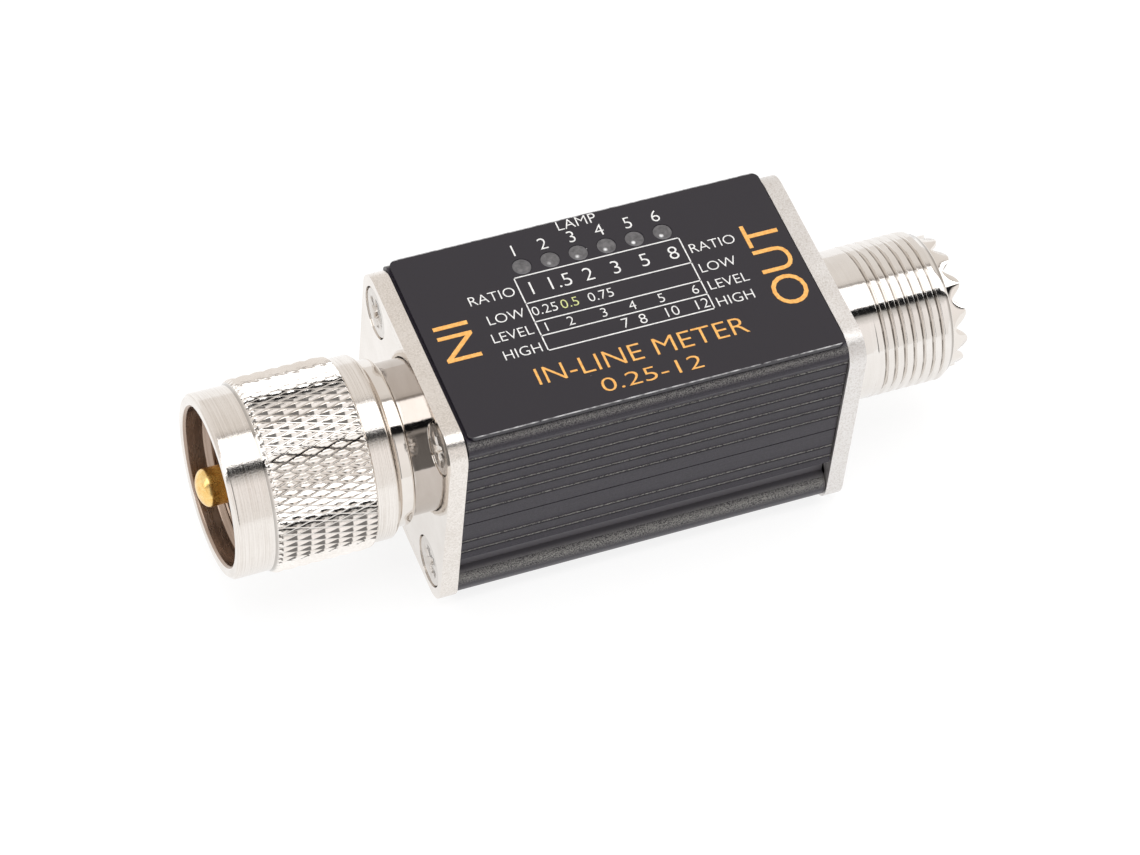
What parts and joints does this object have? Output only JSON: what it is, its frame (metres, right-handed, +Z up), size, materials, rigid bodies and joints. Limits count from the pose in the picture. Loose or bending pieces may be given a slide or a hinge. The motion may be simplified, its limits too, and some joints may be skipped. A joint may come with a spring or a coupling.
{
  "type": "in-line swr meter",
  "caption": "Small in-line radio power and standing-wave meter: ribbed black case with a label plate of indicator windows, a threaded socket, and a plug with a knurled free nut.",
  "frame": {"origin": "under the middle of the object's length and width, on the flat surface that its two square flanges stand on", "axes": "+X along the signal line from the plug end to the socket end, +Z up towards the label plate, +Y away from the front side"},
  "size_m": [0.0808, 0.0254, 0.0259],
  "materials": {
    "nickel_plate": "bright nickel plate over brass",
    "satin_nickel": "turned satin nickel plate",
    "gold_plate": "gold plate",
    "screw_steel": "nickel-plated steel",
    "black_anodised": "black anodised, satin",
    "label_black": "glossy printed film",
    "smoked_window": "smoked and frosted",
    "clear_lamp": "clear moulded",
    "white_insulator": "white, slightly waxy",
    "board_green": "solder mask",
    "ferrite": "fired ferrite",
    "enamelled_copper": "enamelled copper wire",
    "tinned_copper": "tinned copper",
    "chip_black": "moulded, matt",
    "chip_ceramic": "tan ceramic",
    "resistor_black": "glazed top"
  },
  "bodies": {
    "meter": {"centre_pin": "gold_plate", "ceramic_capacitor_1": "chip_ceramic", "ceramic_capacitor_2": "chip_ceramic", "circuit_board": "board_green", "controller_chip": "chip_black", "current_core": "ferrite", "current_winding": "enamelled_copper", "forward_diode": "chip_black", "label_plate": "label_black", "lamp_1": "clear_lamp", "lamp_2": "clear_lamp", "lamp_3": "clear_lamp", "lamp_4": "clear_lamp", "lamp_5": "clear_lamp", "lamp_6": "clear_lamp", "lamp_window_1": "smoked_window", "lamp_window_2": "smoked_window", "lamp_window_3": "smoked_window", "lamp_window_4": "smoked_window", "lamp_window_5": "smoked_window", "lamp_window_6": "smoked_window", "lower_shell": "black_anodised", "plug_body": "nickel_plate", "plug_insulator": "white_insulator", "plug_screw_1": "screw_steel", "plug_screw_2": "screw_steel", "plug_screw_3": "screw_steel", "plug_screw_4": "screw_steel", "reflected_diode": "chip_black", "resistor_1": "resistor_black", "resistor_2": "resistor_black", "resistor_3": "resistor_black", "resistor_4": "resistor_black", "sense_wire": "tinned_copper", "socket_body": "satin_nickel", "socket_contact": "gold_plate", "socket_insulator": "white_insulator", "socket_screw_1": "screw_steel", "socket_screw_2": "screw_steel", "socket_screw_3": "screw_steel", "socket_screw_4": "screw_steel", "storage_capacitor": "tinned_copper", "through_line": "tinned_copper", "upper_shell": "black_anodised", "voltage_core": "ferrite", "voltage_regulator": "chip_black", "voltage_winding": "enamelled_copper"},
    "nut_ring": {"nut_ring": "nickel_plate"},
    "coupling_nut": {"coupling_nut": "satin_nickel"}
  },
  "joints": [
    {"name": "nut_slide", "type": "slide", "parent": "meter", "child": "nut_ring", "axis": [-1, 0, 0], "range_m": [-0.0008, 0.0025]},
    {"name": "nut_spin", "type": "hinge", "parent": "nut_ring", "child": "coupling_nut", "pos_m": [-0.03085, 0, 0.0127], "axis": [1, 0, 0], "continuous": true}
  ]
}
